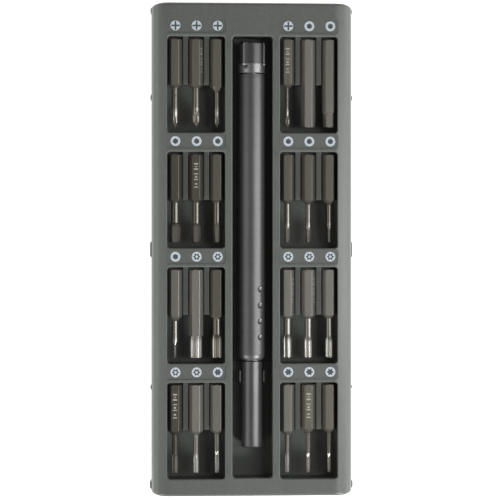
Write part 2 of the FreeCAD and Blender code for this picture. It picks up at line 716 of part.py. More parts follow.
def cross_tip(bit, low, high):
    """Four wings on a tapering core. The tip points towards -Y."""
    radius = bit.size / 2
    blade_r = bit.blade / 2
    point = CROSS_POINT * radius
    ease_from = high - CROSS_EASE * (high - low)
    outer = turned([
        (0, low),
        (point, low),
        (radius, low + CROSS_SLOPE * radius),
        (radius, ease_from),
        (blade_r, high),
        (0, high),
    ])
    core = turned([(0, low), (point / 2, low), (blade_r, high), (0, high)])
    thick = CROSS_THICK * radius
    wide = radius + OVER
    plates = fused([
        box((-wide, wide), (low, high), (-thick, thick)),
        box((-thick, thick), (low, high), (-wide, wide)),
    ])
    plates.rotate(Vector(0, 0, 0), Vector(0, 1, 0), 45)
    return fused([outer.common(plates), core])


def star_tip(bit, low, high, root):
    """Six rounded lobes, with round flutes that run out where the blade narrows to the tip."""
    radius = bit.size / 2
    edge = STAR_EDGE * radius
    tip = turned([
        (0, low),
        (radius - edge, low),
        (radius, low + edge),
        (radius, high),
        (min(radius, bit.blade / 2) - TIP_STEP, root),
        (0, root),
    ])
    flute_r = STAR_FLUTE * radius
    flute_at = STAR_ROOT * radius + flute_r
    flutes = []
    for index in range(6):
        angle = math.radians(60 * index + 30)
        x, z = flute_at * math.sin(angle), flute_at * math.cos(angle)
        flutes.append(rod(flute_r, low - OVER, root + OVER, z, x))
    tip = tip.cut(flutes)
    if bit.tip == "pin_star":
        tip = tip.cut(rod(PIN_HOLE * radius, low - OVER, low + PIN_HOLE_DEPTH * radius))
    return tip


def hex_tip(bit, low, high, root):
    """A hexagonal key end with its point edges turned off, whose flats run out in the blade."""
    corner = bit.size * HEX_CORNER / 2
    edge = HEX_EDGE * bit.size
    profile = [
        (0, low),
        (corner - edge, low),
        (corner, low + edge),
        (corner, high),
        (min(corner, bit.blade / 2) - TIP_STEP, root),
        (0, root),
    ]
    return hex_rod(bit.size, low, root).common(turned(profile))


def blade(bit, neck_end, narrow_from, inside):
    """The round blade, narrowing to the radius inside just before the tip."""
    radius = bit.blade / 2
    tip_high = -bit.tip_from
    profile = [(0, neck_end), (radius, neck_end), (radius, narrow_from)]
    return turned(profile + [(inside, tip_high), (0, tip_high)])


def make_bit(bit):
    """One bit lying along Y at the origin, its back end at y = 0 and its tip towards -Y."""
    corner = BIT_HEX * HEX_CORNER / 2
    cut = BIT_BACK_CHAMFER
    end = -BIT_LENGTH
    back = [(0, 0), (corner - cut, 0), (corner, -cut)]
    if bit.shank >= BIT_LENGTH:
        front = [(corner, end + cut), (corner - cut, end), (0, end)]
        return hex_rod(BIT_HEX, end, 0, edge_r=BIT_EDGE_R).common(turned(back + front))

    neck_end = -bit.shank - bit.neck
    front = [(corner, -bit.shank), (bit.blade / 2, neck_end), (0, neck_end)]
    shank = hex_rod(BIT_HEX, neck_end, 0, edge_r=BIT_EDGE_R).common(turned(back + front))
    tip_high = -bit.tip_from
    narrow_from = tip_high + min(BLADE_TAPER, BLADE_TAPER_SHARE * (neck_end - tip_high))
    if bit.tip == "cross":
        inside = bit.blade / 2
        tip = cross_tip(bit, end, tip_high)
    elif bit.tip == "hex":
        inside = bit.size / 2
        tip = hex_tip(bit, end, tip_high, narrow_from)
    else:
        inside = STAR_ROOT * bit.size / 2
        tip = star_tip(bit, end, tip_high, narrow_from)
    inside = min(inside, bit.blade / 2 - TIP_STEP)
    return fused([shank, blade(bit, neck_end, narrow_from, inside), tip])


def place_bit(shape, index):
    """Moves a bit from the origin to its own slot."""
    pocket, slot = divmod(index, BITS_PER_POCKET)
    side, top = list(pocket_tops())[pocket]
    x = side * POCKET_X + (slot - 1) * BIT_PITCH
    shape.translate(Vector(x, top - BIT_FROM_POCKET_END, BIT_Z))
    return shape


def all_nodes():
    yield "tray", make_tray()
    yield "base_cover", make_base_cover()
    for number, (side, top) in enumerate(pocket_tops(), 1):
        yield f"pocket_magnet_{number}", make_pocket_magnet(side, top)
    yield "handle_body", make_handle_body()
    yield "handle_nose", make_handle_nose()
    yield "bit_socket", make_bit_socket()
    yield "socket_magnet", make_socket_magnet()
    yield "swivel_cap", make_swivel_cap()
    yield "cap_screw", make_cap_screw()
    yield "bearing_outer_ring", bearing_ring(OUTER_RING_BORE_R, OUTER_RING_R)
    yield "bearing_inner_ring", bearing_ring(RING_BORE_R, INNER_RING_R)
    yield "bearing_balls", make_bearing_balls()
    yield "bearing_cage", make_bearing_cage()
    for index, bit in enumerate(BITS):
        yield bit.name, place_bit(make_bit(bit), index)


os.makedirs("parts", exist_ok=True)
for name, shape in all_nodes():
    shape.exportStep(f"parts/{name}.step")
    print(name, len(shape.Solids), "solids", round(shape.Volume, 2), "mm3", shape.isValid())
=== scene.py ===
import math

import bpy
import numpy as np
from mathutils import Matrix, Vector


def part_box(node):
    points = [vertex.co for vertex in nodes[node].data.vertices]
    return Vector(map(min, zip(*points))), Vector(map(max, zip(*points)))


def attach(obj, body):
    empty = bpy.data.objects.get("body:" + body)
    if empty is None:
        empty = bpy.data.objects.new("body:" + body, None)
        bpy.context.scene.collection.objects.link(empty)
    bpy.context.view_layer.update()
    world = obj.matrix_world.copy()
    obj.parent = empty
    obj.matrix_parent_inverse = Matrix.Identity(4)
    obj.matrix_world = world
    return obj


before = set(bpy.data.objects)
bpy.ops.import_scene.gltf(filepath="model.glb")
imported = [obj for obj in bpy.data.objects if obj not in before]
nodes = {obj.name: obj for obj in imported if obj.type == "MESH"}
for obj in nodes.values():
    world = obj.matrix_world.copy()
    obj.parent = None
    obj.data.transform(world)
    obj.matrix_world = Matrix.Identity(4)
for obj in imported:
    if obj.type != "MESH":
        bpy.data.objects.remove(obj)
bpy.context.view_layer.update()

# %% [markdown]
# # A precision screwdriver set in its tray
# The real object is a slim moulded tray. Twenty-four steel bits lie in eight pockets, and an
# anodised aluminium handle lies in a channel down the middle.
# The engineering model already holds every solid at its true size, so this lesson gives each
# solid the finish that the real piece has, and adds what is too thin to be a solid: the icons
# printed beside the bits and the marks etched into their shanks.
# The first step is to measure, because every later position comes from these boxes.

MM = 0.001
PIP_HEIGHT = 0.12 * MM
bits = sorted(name for name in nodes if name.startswith("bit_") and name != "bit_socket")
magnets = sorted(name for name in nodes if name.startswith("pocket_magnet"))
deck_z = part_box("tray")[1].z - PIP_HEIGHT
print(f"{len(nodes)} solids, {len(bits)} bits, deck at {deck_z / MM:.2f} mm")

# %% [markdown]
# ## Helpers for colour and nodes
# Colours are written as sRGB hex values, the way they are picked from a swatch, but shaders
# mix light, which is linear. One function does that conversion.
# A node tree is easier to read when each node is one statement, so a second function adds a
# node, sets its properties and fills its inputs with values or with links. An input is given
# by its name or by its number: in a Mix node 0 is the factor and 6 and 7 are the two colours,
# in a MapRange node 0 is the value, 1 and 2 its range, and 3 and 4 the range it becomes, and a
# Math node takes its operands from 0 on.

# %% Colour conversion and one way to add a node
def linear(hex_value):
    """Linear RGBA from an sRGB hex string: each channel is divided by 12.92 near black and
    follows the power 2.4 above that."""
    channels = np.array([int(hex_value[i : i + 2], 16) for i in (1, 3, 5)]) / 255
    low, high = channels / 12.92, ((channels + 0.055) / 1.055) ** 2.4
    return (*np.where(channels <= 0.04045, low, high), 1.0)


def add(tree, kind, inputs=None, **settings):
    """Adds one shader node, sets its properties, then gives each input a value or a link."""
    node = tree.nodes.new("ShaderNode" + kind)
    for name, value in settings.items():
        setattr(node, name, value)
    for name, value in (inputs or {}).items():
        if isinstance(value, bpy.types.NodeSocket):
            tree.links.new(value, node.inputs[name])
        else:
            node.inputs[name].default_value = value
    return node


def times(base, factor):
    """A tone multiplied by a factor, with no channel above 1."""
    return tuple(np.minimum(np.array(base) * factor, 1))


def per_metre(size_mm):
    """Noise scale whose cells are size_mm across, because a Noise cell is 1 / scale long."""
    return 1000 / size_mm


def begin(name, **shader_inputs):
    """A new material with its shader, and the object coordinates that patterns read."""
    made = bpy.data.materials.new(name)
    made.use_nodes = True
    tree = made.node_tree
    shader = tree.nodes["Principled BSDF"]
    for label, value in shader_inputs.items():
        shader.inputs[label.replace("_", " ")].default_value = value
    place = add(tree, "TexCoord").outputs["Object"]
    return made, tree, shader, place


print(f"half way up the sRGB scale is {linear('#808080')[0]:.2f} in linear light")

# %% [markdown]
# ## Moulded ABS
# The tray and its cover are injection moulded. The steel mould is spark eroded, which leaves a
# fine, even pebble that makes the plastic look dry and soft, a little lighter where it is
# rubbed. The pebble is about 0.1 mm, too fine to show from above, so it is drawn at 0.35 mm on
# the tray and at 0.5 mm on the rougher cover underneath.
# Flow marks from the moulding make slow changes of tone, tens of millimetres long.
# Noise in three sizes gives all of this, and it reads object coordinates, so nothing slides.

# %% Finish: spark-eroded ABS
FLOW_MM = 22
PEBBLE_HEIGHT = 0.02 * MM
PEBBLE_IN_TONE = 0.35
SCUFF_MM, SCUFF_STRETCH, SCUFF_SHARE = 0.6, 0.06, 0.22


def moulded_abs(name, tone, grain_mm=0.35, roughness=0.5):
    """Base tone plus slow flow marks, a fine pebble in bump and roughness, and light scuffs."""
    made, tree, shader, place = begin(name, IOR=1.53)
    flow = add(tree, "TexNoise", {"Vector": place, "Scale": per_metre(FLOW_MM), "Detail": 3.0})
    pebble = add(
        tree, "TexNoise", {"Vector": place, "Scale": per_metre(grain_mm), "Detail": 2.0}
    )
    stretched = add(tree, "Mapping", {"Vector": place, "Scale": (1.0, SCUFF_STRETCH, 1.0)})
    scuffs = add(
        tree, "TexNoise",
        {"Vector": stretched.outputs["Vector"], "Scale": per_metre(SCUFF_MM),
         "Detail": 4.0, "Roughness": 0.7},
    )
    base = linear(tone)
    slow = add(
        tree, "Mix", {0: flow.outputs[0], 6: times(base, 0.9), 7: times(base, 1.1)},
        data_type="RGBA",
    )
    fine = add(
        tree, "Mix", {0: PEBBLE_IN_TONE, 6: slow.outputs[2], 7: pebble.outputs[0]},
        data_type="RGBA", blend_type="SOFT_LIGHT",
    )
    rubbed = add(
        tree, "MapRange", {0: scuffs.outputs[0], 1: 0.62, 2: 0.8, 3: 0.0, 4: SCUFF_SHARE}
    )
    tinted = add(
        tree, "Mix", {0: rubbed.outputs[0], 6: fine.outputs[2], 7: times(base, 2.2)},
        data_type="RGBA",
    )
    tree.links.new(tinted.outputs[2], shader.inputs["Base Color"])
    dry = add(
        tree, "MapRange", {0: pebble.outputs[0], 3: roughness - 0.08, 4: roughness + 0.1}
    )
    tree.links.new(dry.outputs[0], shader.inputs["Roughness"])
    relief = add(
        tree, "Bump", {"Height": pebble.outputs[0], "Strength": 0.35, "Distance": PEBBLE_HEIGHT}
    )
    tree.links.new(relief.outputs["Normal"], shader.inputs["Normal"])
    return made


tray_finish = moulded_abs("moulded_abs_tray", "#5E615D", roughness=0.32)
cover_finish = moulded_abs("moulded_abs_cover", "#464A46", grain_mm=0.5, roughness=0.58)
print("plastics:", tray_finish.name, cover_finish.name)

# %% [markdown]
# The ribs between the bits lie lower than the bits and the pocket walls, so they are in shade,
# and that shade is painted into the tone. The ribs are part of the tray's one solid, so the
# painted shade is a band in height: the material compares the object's Z with the rib tops and
# darkens the tone near them.

# %% Paint shade onto the ribs
RIB_TOP_FROM_DECK = 2.8 * MM
PAINTED_SHADE_REACH = 0.7 * MM
# Painted shade: the darker, slightly cool tone that stands for the shade on the rib tops.
PAINTED_SHADE_TONE = (0.72, 0.73, 0.74, 1.0)


def paint_shade_between(made, middle_z, reach, tone):
    """Multiplies the tone where Z is within reach of middle_z."""
    tree = made.node_tree
    shader = tree.nodes["Principled BSDF"]
    place = add(tree, "TexCoord").outputs["Object"]
    split = add(tree, "SeparateXYZ", {"Vector": place})
    near = add(
        tree, "Math", {0: split.outputs["Z"], 1: middle_z, 2: reach}, operation="COMPARE"
    )
    old_tone = shader.inputs["Base Color"].links[0].from_socket
    darker = add(
        tree, "Mix", {0: near.outputs[0], 6: old_tone, 7: tone},
        data_type="RGBA", blend_type="MULTIPLY",
    )
    tree.links.new(darker.outputs[2], shader.inputs["Base Color"])


# Painted shade: the rib tops are darkened where the bits and pocket walls shade them.
paint_shade_between(tray_finish, deck_z - RIB_TOP_FROM_DECK, PAINTED_SHADE_REACH, PAINTED_SHADE_TONE)
print(f"ribs rubbed at z = {(deck_z - RIB_TOP_FROM_DECK) / MM:.1f} mm")

# %% [markdown]
# ## Anodised aluminium
# The handle is turned from bar, fine bead blasted and anodised dark grey. The oxide is a thin
# tinted glass on the metal, so it keeps a metal's long soft highlight but stays dark, and the
# blasted skin scatters a little light as paint does, so it is not fully metallic. Turning
# leaves faint rings round the axis, so the noise is squeezed along Y and stretched across it.
# The real rings and blast dimples are some hundredths of a millimetre across, too fine to
# show, so the rings are drawn at 0.25 mm and the dimples at 0.12 mm.

# %% Finish: turned and anodised aluminium
RING_SQUEEZE = 0.03
BLAST_MM, CLOUD_MM = 0.12, 9
BLAST_DEPTH = 0.004 * MM


def anodised_aluminium(name, tone, roughness=0.34, ring_mm=0.25, ring_strength=0.12, relief=0.25):
    """Dark tinted metal with rings round Y, a fine blast grain and slow changes of tone."""
    made, tree, shader, place = begin(name, Metallic=0.8)
    squeezed = add(
        tree, "Mapping", {"Vector": place, "Scale": (RING_SQUEEZE, 1.0, RING_SQUEEZE)}
    )
    rings = add(
        tree, "TexNoise",
        {"Vector": squeezed.outputs["Vector"], "Scale": per_metre(ring_mm), "Detail": 3.0},
    )
    blast = add(tree, "TexNoise", {"Vector": place, "Scale": per_metre(BLAST_MM), "Detail": 1.0})
    cloud = add(tree, "TexNoise", {"Vector": place, "Scale": per_metre(CLOUD_MM), "Detail": 2.0})
    base = linear(tone)
    toned = add(
        tree, "Mix", {0: cloud.outputs[0], 6: times(base, 0.9), 7: times(base, 1.1)},
        data_type="RGBA",
    )
    ringed = add(
        tree, "Mix", {0: ring_strength, 6: toned.outputs[2], 7: rings.outputs[0]},
        data_type="RGBA", blend_type="SOFT_LIGHT",
    )
    tree.links.new(ringed.outputs[2], shader.inputs["Base Color"])
    spread = add(
        tree, "MapRange", {0: blast.outputs[0], 3: roughness - 0.05, 4: roughness + 0.06}
    )
    tree.links.new(spread.outputs[0], shader.inputs["Roughness"])
    fine = add(
        tree, "Bump", {"Height": blast.outputs[0], "Strength": relief, "Distance": BLAST_DEPTH}
    )
    cut = add(
        tree, "Bump",
        {"Height": rings.outputs[0], "Strength": relief, "Distance": BLAST_DEPTH,
         "Normal": fine.outputs["Normal"]},
    )
    tree.links.new(cut.outputs["Normal"], shader.inputs["Normal"])
    return made


body_finish = anodised_aluminium("anodised_aluminium_body", "#6E6E6E", roughness=0.42)
nose_finish = anodised_aluminium("anodised_aluminium_nose", "#757576", roughness=0.32)
cap_finish = anodised_aluminium("anodised_aluminium_cap", "#A2A2A3", roughness=0.27, relief=0.06)
print("anodised:", body_finish.name, nose_finish.name, cap_finish.name)

# %% [markdown]
# The cap has two looks. Its grip is blasted again after the grooves are milled, so it is duller
# and darker, and the band next to the handle keeps its turned shine. The line between them is a
# place along Y, so the material compares the object's Y with it, and past it the tone is
# multiplied and the roughness raised.

# %% Dull the cap's grip
GRIP_LENGTH = 7.1 * MM
GRIP_TONE = 0.34
GRIP_ROUGHER = 0.08
grip_from_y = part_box("swivel_cap")[1].y - GRIP_LENGTH


def dull_above(made, y_from, darker, rougher):
    """Where Y is above y_from, multiplies the tone by darker and adds rougher."""
    tree = made.node_tree
    shader = tree.nodes["Principled BSDF"]
    place = add(tree, "TexCoord").outputs["Object"]
    split = add(tree, "SeparateXYZ", {"Vector": place})
    above = add(tree, "Math", {0: split.outputs["Y"], 1: y_from}, operation="GREATER_THAN")
    old_tone = shader.inputs["Base Color"].links[0].from_socket
    old_rough = shader.inputs["Roughness"].links[0].from_socket
    toned = add(
        tree, "Mix", {0: above.outputs[0], 6: old_tone, 7: (darker, darker, darker, 1)},
        data_type="RGBA", blend_type="MULTIPLY",
    )
    rough = add(
        tree, "Math", {0: above.outputs[0], 1: rougher, 2: old_rough}, operation="MULTIPLY_ADD"
    )
    tree.links.new(toned.outputs[2], shader.inputs["Base Color"])
    tree.links.new(rough.outputs[0], shader.inputs["Roughness"])


dull_above(cap_finish, grip_from_y, GRIP_TONE, GRIP_ROUGHER)
print(f"grip dulled above y = {grip_from_y / MM:.1f} mm")

# %% [markdown]
# ## Hardened tool steel
# Each bit is cut from hexagonal tool steel, hardened, and tumbled with fine media, which leaves
# a dull brownish grey with faint streaks along the drawn bar. Heat treatment makes no two bits
# quite the same tone, so eight tones of the same finish are shared out among them.
# The blade is turned after the shank is drawn, so it is smoother, and the tip is ground last,
# so it is bare and bright. The three largest bits have no turned blade: two stay as drawn from
# end to end, and the third is ground only on its star. The oxide left by tempering is not a
# metal, so the shader is not fully metallic: a part of the light is scattered, which keeps the
# flats grey and even.
# Real streaks and tumbling specks are some hundredths of a millimetre wide, too fine to show,
# so they are drawn at 0.18 mm and 0.16 mm.

# %% Finish: hardened and tumbled tool steel
row_backs = sorted({round(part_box(name)[1].y, 6) for name in bits}, reverse=True)
ROW_PITCH = row_backs[0] - row_backs[1]
BACK_MARGIN = 0.1 * MM
GROUND_FROM, GROUND_TO = 21.6 * MM, 23.4 * MM
TURNED_FROM, TURNED_TO = 14.6 * MM, 15.8 * MM
STREAK_MM, SPECK_MM, HEAT_MM = 0.18, 0.16, 4
STREAK_STRETCH, STREAKS_IN_TONE = 0.05, 0.16
SKIN_DEPTH, SKIN_STRENGTH = 0.003 * MM, 0.2
STRAW = np.array([1.06, 1.0, 0.9, 1.0])
BLUE = np.array([0.95, 0.98, 1.0, 1.0])
GROUND_BRIGHTER = 2.1


def tool_steel(name, tone, smoothing=0.14, ground_share=1.0, roughness=0.36):
    """Warm grey metal with streaks along Y, tumbling specks and cloudy heat colour. How far a
    point is from its bit's back is the remainder of (first back - Y) over the row pitch, so one
    material serves every row: past TURNED_FROM it is smoother by smoothing, and past
    GROUND_FROM it takes ground_share of a brighter tone."""
    made, tree, shader, place = begin(name, Metallic=0.72)
    split = add(tree, "SeparateXYZ", {"Vector": place})
    down = add(
        tree, "Math", {0: row_backs[0] + BACK_MARGIN, 1: split.outputs["Y"]},
        operation="SUBTRACT",
    )
    along_bit = add(tree, "Math", {0: down.outputs[0], 1: ROW_PITCH}, operation="FLOORED_MODULO")
    turned = add(tree, "MapRange", {0: along_bit.outputs[0], 1: TURNED_FROM, 2: TURNED_TO})
    ground = add(
        tree, "MapRange", {0: along_bit.outputs[0], 1: GROUND_FROM, 2: GROUND_TO, 4: ground_share}
    )
    drawn = add(tree, "Mapping", {"Vector": place, "Scale": (1.0, STREAK_STRETCH, 1.0)})
    streaks = add(
        tree, "TexNoise",
        {"Vector": drawn.outputs["Vector"], "Scale": per_metre(STREAK_MM), "Detail": 3.0},
    )
    specks = add(tree, "TexNoise", {"Vector": place, "Scale": per_metre(SPECK_MM), "Detail": 2.0})
    heat = add(tree, "TexNoise", {"Vector": place, "Scale": per_metre(HEAT_MM), "Detail": 3.0})
    base = linear(tone)
    clouded = add(
        tree, "Mix", {0: heat.outputs[0], 6: times(base, BLUE), 7: times(base, STRAW)},
        data_type="RGBA",
    )
    streaked = add(
        tree, "Mix", {0: STREAKS_IN_TONE, 6: clouded.outputs[2], 7: streaks.outputs[0]},
        data_type="RGBA", blend_type="SOFT_LIGHT",
    )
    brighter = add(
        tree, "Mix",
        {0: ground.outputs[0], 6: streaked.outputs[2], 7: times(base, GROUND_BRIGHTER)},
        data_type="RGBA",
    )
    tree.links.new(brighter.outputs[2], shader.inputs["Base Color"])
    spread = add(
        tree, "MapRange", {0: specks.outputs[0], 3: roughness - 0.05, 4: roughness + 0.07}
    )
    smoother = add(
        tree, "Math", {0: turned.outputs[0], 1: -smoothing, 2: spread.outputs[0]},
        operation="MULTIPLY_ADD",
    )
    tree.links.new(smoother.outputs[0], shader.inputs["Roughness"])
    relief = add(
        tree, "Bump",
        {"Height": specks.outputs[0], "Strength": SKIN_STRENGTH, "Distance": SKIN_DEPTH},
    )
    along = add(
        tree, "Bump",
        {"Height": streaks.outputs[0], "Strength": SKIN_STRENGTH, "Distance": SKIN_DEPTH,
         "Normal": relief.outputs["Normal"]},
    )
    tree.links.new(along.outputs["Normal"], shader.inputs["Normal"])
    return made


steel_tones = {
    "darkest": ("#636059", "hex_3_0 hex_2_5 pin_star_7"),
    "dark": ("#706D65", "hex_2_0 hex_1_5 hex_1_3 hex_0_9 pin_star_15"),
    "middle": ("#7C7971", "cross_0 cross_1 cross_00 cross_000 star_3 star_2"),
    "light": ("#898883", "hex_0_7 pin_star_10 pin_star_9 pin_star_8 star_5 star_4"),
    "lightest": ("#95948F", "pin_star_6"),
}
bit_finish = {}
for shade, (tone, tips) in steel_tones.items():
    finish = tool_steel(f"tool_steel_{shade}", tone)
    bit_finish.update({f"bit_{tip}": finish for tip in tips.split()})
no_blade = {
    "bit_hex_4_0": ("tool_steel_full_hexagon", "#8F8E89", 0.0),
    "bit_hex_3_5": ("tool_steel_stepped_hexagon", "#888681", 0.0),
    "bit_pin_star_20": ("tool_steel_long_shank", "#93928D", 0.7),
}
for bit, (name, tone, ground_share) in no_blade.items():
    bit_finish[bit] = tool_steel(name, tone, smoothing=0.0, ground_share=ground_share)
print(len(steel_tones) + len(no_blade), "tones of tool steel for", len(bit_finish), "bits")

# %% [markdown]
# ## The metals inside
# The socket is turned steel, the screw is blackened with hot oxide, the bearing rings and balls
# are ground and polished, and the magnets are nickel plated. They show only when the set is
# taken apart, but a pose can lift the handle, so each still gets its own finish: a metal whose
# tone and roughness vary with a fine noise, as ground and plated skins do. The real grain is
# finer than a tenth of a millimetre, and is drawn at 0.2 mm to 0.5 mm so that it shows.

# %% Finish: small metal parts
GRAIN_STRENGTH = 0.2
TURNED_SQUEEZE = 0.04


def small_metal(name, tone, roughness, grain_mm, ringed=False):
    """Metal with a grain in tone, roughness and bump. A ringed one is squeezed along Y."""
    made, tree, shader, place = begin(name, Metallic=1.0)
    squash = (TURNED_SQUEEZE, 1.0, TURNED_SQUEEZE) if ringed else (1.0, 1.0, 1.0)
    mapped = add(tree, "Mapping", {"Vector": place, "Scale": squash})
    grain = add(
        tree, "TexNoise",
        {"Vector": mapped.outputs["Vector"], "Scale": per_metre(grain_mm), "Detail": 3.0},
    )
    base = linear(tone)
    toned = add(
        tree, "Mix", {0: grain.outputs[0], 6: times(base, 0.82), 7: times(base, 1.15)},
        data_type="RGBA",
    )
    tree.links.new(toned.outputs[2], shader.inputs["Base Color"])
    spread = add(
        tree, "MapRange", {0: grain.outputs[0], 3: roughness * 0.75, 4: roughness * 1.3}
    )
    tree.links.new(spread.outputs[0], shader.inputs["Roughness"])
    relief = add(
        tree, "Bump",
        {"Height": grain.outputs[0], "Strength": GRAIN_STRENGTH, "Distance": 0.004 * MM},
    )
    tree.links.new(relief.outputs["Normal"], shader.inputs["Normal"])
    return made


socket_finish = small_metal("turned_steel_socket", "#85858A", 0.28, 0.2, ringed=True)
screw_finish = small_metal("black_oxide_screw", "#2C2C2E", 0.45, 0.25)
bearing_finish = small_metal("ground_bearing_steel", "#B9BABD", 0.12, 0.3, ringed=True)
cage_finish = small_metal("pressed_steel_cage", "#A79F8E", 0.3, 0.25)
plating_finish = small_metal("nickel_plating", "#C2BFB6", 0.2, 0.5)
print("inside:", socket_finish.name, screw_finish.name, bearing_finish.name, plating_finish.name)

# %% [markdown]
# ## Hand each solid its finish
# A solid from the engineering model keeps its shape. Its first material slot is filled with the
# finish made above.

# %% Give every solid its finish
finish_of = {
    "tray": tray_finish,
    "base_cover": cover_finish,
    "handle_body": body_finish,
    "handle_nose": nose_finish,
    "swivel_cap": cap_finish,
    "bit_socket": socket_finish,
    "cap_screw": screw_finish,
    "bearing_outer_ring": bearing_finish,
    "bearing_inner_ring": bearing_finish,
    "bearing_balls": bearing_finish,
    "bearing_cage": cage_finish,
    "socket_magnet": plating_finish,
}
finish_of.update({name: plating_finish for name in magnets})
finish_of.update(bit_finish)
for name, finish in finish_of.items():
    nodes[name].data.materials.clear()
    nodes[name].data.materials.append(finish)
print(len(finish_of), "solids finished, of", len(nodes))

# %% [markdown]
# ## Icons printed beside the bits
# Each bit has a small round symbol above its slot that shows its tip: a cross, a hexagon, a
# star, or a star with a pin. On the real tray a soft pad prints them in pale ink, over a first
# print in dark ink that shows as a thin rim and inside the symbol's outline. Ink covers
# unevenly, and that unevenness is a quarter of a millimetre across.

# %% Finish: pad-printed ink
COVER_MM = 0.25
INK_RELIEF = 0.01 * MM


def printed_ink(name, tone):
    """Ink that is uneven in cover, with a fine relief where it missed the texture."""
    made, tree, shader, place = begin(name, IOR=1.5, Roughness=0.5)
    cover = add(tree, "TexNoise", {"Vector": place, "Scale": per_metre(COVER_MM), "Detail": 3.0})
    base = linear(tone)
    patchy = add(tree, "MapRange", {0: cover.outputs[0], 1: 0.35, 2: 0.65})
    inked = add(
        tree, "Mix", {0: patchy.outputs[0], 6: times(base, 0.78), 7: base}, data_type="RGBA"
    )
    tree.links.new(inked.outputs[2], shader.inputs["Base Color"])
    relief = add(
        tree, "Bump", {"Height": cover.outputs[0], "Strength": 0.2, "Distance": INK_RELIEF}
    )
    tree.links.new(relief.outputs["Normal"], shader.inputs["Normal"])
    return made


ink_finish = printed_ink("pad_printed_ink", "#C9D1D6")
back_finish = printed_ink("pad_printed_dark_ink", "#474F56")
print("inks:", ink_finish.name, back_finish.name)

# %% [markdown]
# Every symbol is one ring: its outer edge is a circle and its inner edge is the tip's outline,
# given as a radius for each angle. So one function can build them all, and only the outline's
# formula changes.

# %% The outlines, as a radius for each angle
ICON_RADIUS = 1.58 * MM
CROSS_ARM, CROSS_HALF_WIDE = 1.36 * MM, 0.27 * MM
HEXAGON_TO_SIDE = 0.78 * MM
STAR_MIDDLE, STAR_SWING = 0.93 * MM, 0.2 * MM
turns = np.linspace(0, 2 * np.pi, 144, endpoint=False)


def cross_outline(angle):
    """A plus: along each arm the radius is the nearer of the arm's end and its side."""
    tiny = 1e-9
    along = np.maximum(np.abs(np.cos(angle)), tiny)
    across = np.maximum(np.abs(np.sin(angle)), tiny)
    flat = np.minimum(CROSS_ARM / along, CROSS_HALF_WIDE / across)
    upright = np.minimum(CROSS_ARM / across, CROSS_HALF_WIDE / along)
    return np.maximum(flat, upright)


def hexagon_outline(angle):
    """A hexagon: the distance to a side over the cosine of the angle from its middle."""
    return HEXAGON_TO_SIDE / np.cos((angle + np.pi / 6) % (np.pi / 3) - np.pi / 6)


def star_outline(angle):
    """Six rounded lobes: a circle whose radius swings with the cosine of six times the angle."""
    return STAR_MIDDLE + STAR_SWING * np.cos(6 * angle)


outlines = {
    "cross": cross_outline,
    "hex": hexagon_outline,
    "star": star_outline,
    "pin": star_outline,
}
print(len(turns), "points round each outline")

# %% [markdown]
# Ink has a thickness of some hundredths of a millimetre, so each print is a closed shell and
# not a flat face. A shell is made from whole arrays: four rows of points follow the angle, and
# quads join each row to the next and the last to the first. A disc is made as a ring too, with
# a hair of a hole, so that the same function serves.

# %% Build closed rings on numpy grids
HAIR = 0.01 * MM


def mesh_piece(name, points, faces, finish, body):
    """Puts arrays of points and quads into a new object that rides on a body."""
    mesh = bpy.data.meshes.new(name)
    mesh.from_pydata(points.tolist(), [], faces.tolist())
    mesh.validate()
    mesh.materials.append(finish)
    piece = bpy.data.objects.new(name, mesh)
    bpy.context.scene.collection.objects.link(piece)
    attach(piece, body)
    return piece


def ring_shell(inner, outer, centre, thick):
    """A closed flat ring. Four rows of points follow the angle: inner low, outer low, outer
    high, inner high. Each quad joins neighbours in a row and the row after it."""
    inner = np.full_like(turns, inner)
    outer = np.full_like(turns, outer)
    radii = np.stack([inner, outer, outer, inner])
    heights = np.array([0, 0, thick, thick])[:, None] * np.ones_like(turns)
    points = np.stack([radii * np.cos(turns), radii * np.sin(turns), heights], axis=-1)
    count = len(turns)
    row, step = np.meshgrid(np.arange(4), np.arange(count), indexing="ij")
    after, around = (row + 1) % 4, (step + 1) % count
    quads = np.stack(
        [row * count + step, after * count + step, after * count + around, row * count + around],
        axis=-1,
    )
    return points.reshape(-1, 3) + np.array(centre), quads.reshape(-1, 4)[:, ::-1]


def joined(shells):
    """One point array and one quad array from several shells, with the indices moved up."""
    starts = np.cumsum([0] + [len(points) for points, _ in shells[:-1]])
    points = np.concatenate([points for points, _ in shells])
    quads = np.concatenate([quads + start for (_, quads), start in zip(shells, starts)])
    return points, quads


print(4 * len(turns), "quads in each ring")

# %% [markdown]
# The prints lie on the floor of the shallow strip above each pocket, one above each bit. The
# bit's own box gives the place, so an icon can't drift from its slot. The prints of one pocket
# are one piece, as one touch of the pad leaves them.

# %% Print the icons of every pocket
STRIP_DEPTH = 0.18 * MM
BIT_TO_POCKET_END = 0.8 * MM
POCKET_END_TO_ICON = 3.3 * MM
ICON_TO_RIGHT = 0.15 * MM
INK_THICK = 0.03 * MM
BACK_THICK = 0.012 * MM
BACK_RIM = 0.16 * MM
PIN_DOT_RADIUS = 0.42 * MM


def icon_centre(bit):
    """The point on the strip's floor above the slot of a bit."""
    low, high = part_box(bit)
    x = (low.x + high.x) / 2 + ICON_TO_RIGHT
    y = high.y + BIT_TO_POCKET_END + POCKET_END_TO_ICON
    return np.array([x, y, deck_z - STRIP_DEPTH])


def back_shell(bit):
    """A thin dark disc under the icon, a little wider than it."""
    return ring_shell(HAIR, ICON_RADIUS + BACK_RIM, icon_centre(bit), BACK_THICK)


def icon_shells(bit):
    """The ring for one bit's tip, and a dot in the middle for a star with a pin."""
    centre = icon_centre(bit) + (0, 0, BACK_THICK)
    kind = bit.split("_")[1]
    shells = [ring_shell(outlines[kind](turns), ICON_RADIUS, centre, INK_THICK)]
    if kind == "pin":
        shells.append(ring_shell(HAIR, PIN_DOT_RADIUS, centre, INK_THICK))
    return shells


